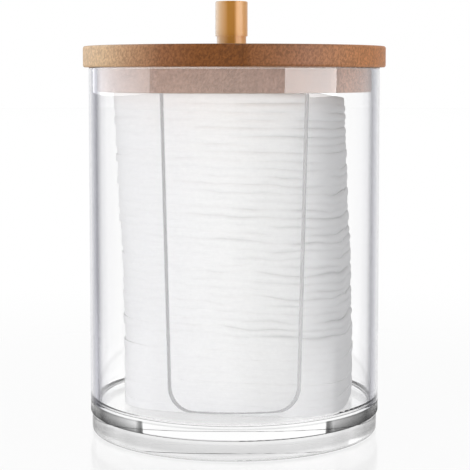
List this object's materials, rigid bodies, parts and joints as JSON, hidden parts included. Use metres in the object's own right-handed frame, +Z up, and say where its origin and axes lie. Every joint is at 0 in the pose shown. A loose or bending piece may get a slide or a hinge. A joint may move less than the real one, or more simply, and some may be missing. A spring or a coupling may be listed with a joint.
{
  "type": "storage box with lid",
  "caption": "Clear round storage jar with a finger window in its wall, a lift-off bamboo lid with a peg knob, and a full stack of cotton pads inside.",
  "frame": {"origin": "centre of the jar's underside, on the surface that it stands on", "axes": "+Z up along the jar's axis; the window in the wall faces -Y; +X to the right as seen from the window"},
  "size_m": [0.0872, 0.0872, 0.1238],
  "materials": {
    "clear_wall": "clear, polished",
    "lid_wood": "oiled bamboo, satin",
    "plug_wood": "bare bamboo, matt",
    "knob_wood": "turned bamboo, satin",
    "cotton": "pressed cotton wool, matt"
  },
  "bodies": {
    "jar": {"jar": "clear_wall", "pad_01": "cotton", "pad_02": "cotton", "pad_03": "cotton", "pad_04": "cotton", "pad_05": "cotton", "pad_06": "cotton", "pad_07": "cotton", "pad_08": "cotton", "pad_09": "cotton", "pad_10": "cotton", "pad_11": "cotton", "pad_12": "cotton", "pad_13": "cotton", "pad_14": "cotton", "pad_15": "cotton", "pad_16": "cotton", "pad_17": "cotton", "pad_18": "cotton", "pad_19": "cotton", "pad_20": "cotton", "pad_21": "cotton", "pad_22": "cotton", "pad_23": "cotton", "pad_24": "cotton", "pad_25": "cotton", "pad_26": "cotton", "pad_27": "cotton", "pad_28": "cotton", "pad_29": "cotton", "pad_30": "cotton", "pad_31": "cotton", "pad_32": "cotton", "pad_33": "cotton", "pad_34": "cotton", "pad_35": "cotton", "pad_36": "cotton", "pad_37": "cotton", "pad_38": "cotton", "pad_39": "cotton", "pad_40": "cotton"},
    "lid": {"lid_disc": "lid_wood", "lid_plug": "plug_wood", "knob": "knob_wood"}
  },
  "joints": [
    {"name": "lid_lift", "type": "slide", "parent": "jar", "child": "lid", "axis": [0, 0, 1], "range_m": [0, 0.05]}
  ]
}
